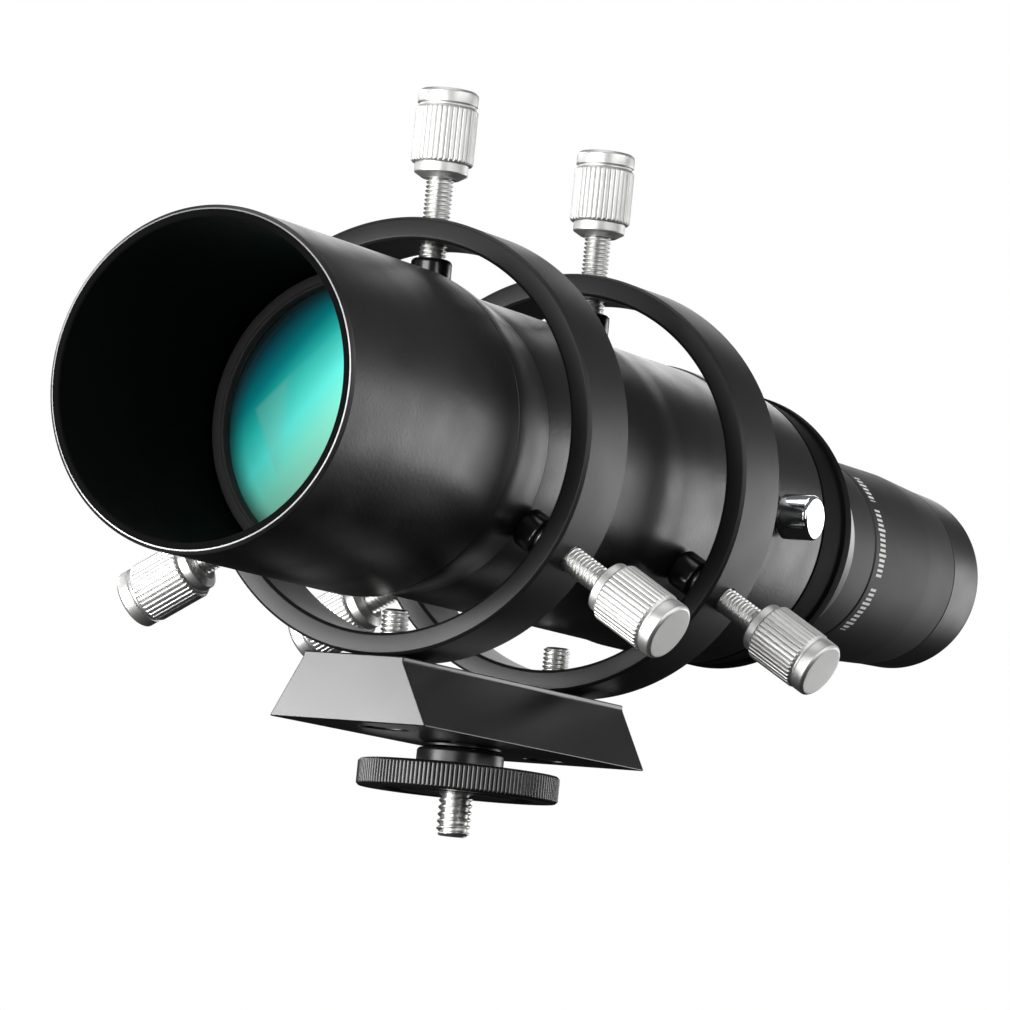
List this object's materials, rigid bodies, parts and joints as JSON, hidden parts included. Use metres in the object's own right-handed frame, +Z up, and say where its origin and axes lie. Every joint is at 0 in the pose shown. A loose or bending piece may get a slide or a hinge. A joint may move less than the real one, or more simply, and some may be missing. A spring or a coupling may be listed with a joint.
{
  "type": "finder scope",
  "caption": "Straight-through finder scope held by knurled adjusting screws in rings on a dovetail plate, with a lock wheel below, a deep dew shield, a sliding draw tube and an eyepiece.",
  "frame": {"origin": "centre of the dovetail plate's underside, where the mounting stud's axis crosses it", "axes": "+Z up, from the underside to the optical axis 52.05 mm above it; -Y along the optical axis towards the target; +Y towards the eye; +X towards the side of the draw tube's lock screw"},
  "size_m": [0.1156, 0.2885, 0.1329],
  "materials": {
    "black_anodised": "satin black anodised aluminium, fine bead-blasted grain",
    "grey_anodised": "matte dark grey anodised aluminium",
    "satin_aluminium": "clear anodised turned aluminium, satin, straight knurl",
    "bright_steel": "bright zinc-plated steel with rolled threads",
    "black_steel": "black oxide steel",
    "polished_chrome": "polished chrome",
    "brass": "plain turned brass",
    "black_nylon": "glossy black nylon",
    "moulded_black": "moulded black plastic with a fine straight knurl",
    "black_rubber": "soft matte rubber",
    "coated_glass": "multi-coated optical glass with a green-blue reflection"
  },
  "bodies": {
    "finder": {"dew_shield": "black_anodised", "objective_cell": "black_anodised", "lens_retaining_ring": "black_anodised", "crown_lens": "coated_glass", "lens_spacer": "black_anodised", "flint_lens": "coated_glass", "main_tube": "black_anodised", "baffle_front": "black_anodised", "baffle_rear": "black_anodised", "draw_housing": "black_anodised", "front_ring": "black_anodised", "rear_ring": "black_anodised", "front_ring_bolt": "black_steel", "rear_ring_bolt": "black_steel", "dovetail_plate": "black_anodised", "mounting_stud": "bright_steel"},
    "draw_tube": {"draw_tube": "black_anodised", "draw_flange": "black_anodised", "spring_ring": "brass"},
    "eyepiece": {"eyepiece_barrel": "polished_chrome", "eyepiece_body": "grey_anodised", "field_stop": "black_anodised", "field_lens": "coated_glass", "lens_group_spacer": "black_anodised", "eye_lens": "coated_glass", "eyecup": "black_rubber"},
    "lock_pad": {"lock_screw_pad": "black_nylon"},
    "lock_screw": {"lock_screw": "polished_chrome"},
    "wheel_washer": {"lock_washer": "bright_steel"},
    "lock_wheel": {"lock_wheel": "moulded_black"},
    "front_top_tip": {"front_top_tip": "black_nylon"},
    "front_top_screw": {"front_top_screw": "bright_steel", "front_top_knob": "satin_aluminium"},
    "front_left_tip": {"front_left_tip": "black_nylon"},
    "front_left_screw": {"front_left_screw": "bright_steel", "front_left_knob": "satin_aluminium"},
    "front_right_tip": {"front_right_tip": "black_nylon"},
    "front_right_screw": {"front_right_screw": "bright_steel", "front_right_knob": "satin_aluminium"},
    "rear_top_tip": {"rear_top_tip": "black_nylon"},
    "rear_top_screw": {"rear_top_screw": "bright_steel", "rear_top_knob": "satin_aluminium"},
    "rear_left_tip": {"rear_left_tip": "black_nylon"},
    "rear_left_screw": {"rear_left_screw": "bright_steel", "rear_left_knob": "satin_aluminium"},
    "rear_right_tip": {"rear_right_tip": "black_nylon"},
    "rear_right_screw": {"rear_right_screw": "bright_steel", "rear_right_knob": "satin_aluminium"}
  },
  "joints": [
    {"name": "draw_tube_focus", "type": "slide", "parent": "finder", "child": "draw_tube", "axis": [0, 1, 0], "range_m": [0, 0.025]},
    {"name": "eyepiece_pull", "type": "slide", "parent": "draw_tube", "child": "eyepiece", "axis": [0, 1, 0], "range_m": [0, 0.02]},
    {"name": "lock_screw_travel", "type": "slide", "parent": "finder", "child": "lock_pad", "axis": [1, 0, 0], "range_m": [0, 0.003]},
    {"name": "lock_screw_turn", "type": "hinge", "parent": "lock_pad", "child": "lock_screw", "pos_m": [0, 0.0672, 0.05205], "axis": [1, 0, 0], "range_deg": [0, 1351]},
    {"name": "lock_wheel_travel", "type": "slide", "parent": "finder", "child": "wheel_washer", "axis": [0, 0, -1], "range_m": [0, 0.003]},
    {"name": "lock_wheel_turn", "type": "hinge", "parent": "wheel_washer", "child": "lock_wheel", "pos_m": [0, 0, 0], "axis": [0, 0, -1], "range_deg": [0, 852]},
    {"name": "front_top_travel", "type": "slide", "parent": "finder", "child": "front_top_tip", "axis": [0, 0, 1], "range_m": [0, 0.002]},
    {"name": "front_top_turn", "type": "hinge", "parent": "front_top_tip", "child": "front_top_screw", "pos_m": [0, -0.02925, 0.05205], "axis": [0, 0, 1], "range_deg": [0, 901]},
    {"name": "front_left_travel", "type": "slide", "parent": "finder", "child": "front_left_tip", "axis": [-0.866, 0, -0.5], "range_m": [0, 0.002]},
    {"name": "front_left_turn", "type": "hinge", "parent": "front_left_tip", "child": "front_left_screw", "pos_m": [0, -0.02925, 0.05205], "axis": [-0.866, 0, -0.5], "range_deg": [0, 901]},
    {"name": "front_right_travel", "type": "slide", "parent": "finder", "child": "front_right_tip", "axis": [0.866, 0, -0.5], "range_m": [0, 0.002]},
    {"name": "front_right_turn", "type": "hinge", "parent": "front_right_tip", "child": "front_right_screw", "pos_m": [0, -0.02925, 0.05205], "axis": [0.866, 0, -0.5], "range_deg": [0, 901]},
    {"name": "rear_top_travel", "type": "slide", "parent": "finder", "child": "rear_top_tip", "axis": [0, 0, 1], "range_m": [0, 0.002]},
    {"name": "rear_top_turn", "type": "hinge", "parent": "rear_top_tip", "child": "rear_top_screw", "pos_m": [0, 0.03345, 0.05205], "axis": [0, 0, 1], "range_deg": [0, 901]},
    {"name": "rear_left_travel", "type": "slide", "parent": "finder", "child": "rear_left_tip", "axis": [-0.866, 0, -0.5], "range_m": [0, 0.002]},
    {"name": "rear_left_turn", "type": "hinge", "parent": "rear_left_tip", "child": "rear_left_screw", "pos_m": [0, 0.03345, 0.05205], "axis": [-0.866, 0, -0.5], "range_deg": [0, 901]},
    {"name": "rear_right_travel", "type": "slide", "parent": "finder", "child": "rear_right_tip", "axis": [0.866, 0, -0.5], "range_m": [0, 0.002]},
    {"name": "rear_right_turn", "type": "hinge", "parent": "rear_right_tip", "child": "rear_right_screw", "pos_m": [0, 0.03345, 0.05205], "axis": [0.866, 0, -0.5], "range_deg": [0, 901]}
  ],
  "couplings": [
    {"joint": "lock_screw_turn", "follows": "lock_screw_travel", "rad_per_m": 7854},
    {"joint": "lock_wheel_turn", "follows": "lock_wheel_travel", "rad_per_m": 4947.4},
    {"joint": "front_top_turn", "follows": "front_top_travel", "rad_per_m": 7854},
    {"joint": "front_left_turn", "follows": "front_left_travel", "rad_per_m": 7854},
    {"joint": "front_right_turn", "follows": "front_right_travel", "rad_per_m": 7854},
    {"joint": "rear_top_turn", "follows": "rear_top_travel", "rad_per_m": 7854},
    {"joint": "rear_left_turn", "follows": "rear_left_travel", "rad_per_m": 7854},
    {"joint": "rear_right_turn", "follows": "rear_right_travel", "rad_per_m": 7854}
  ]
}
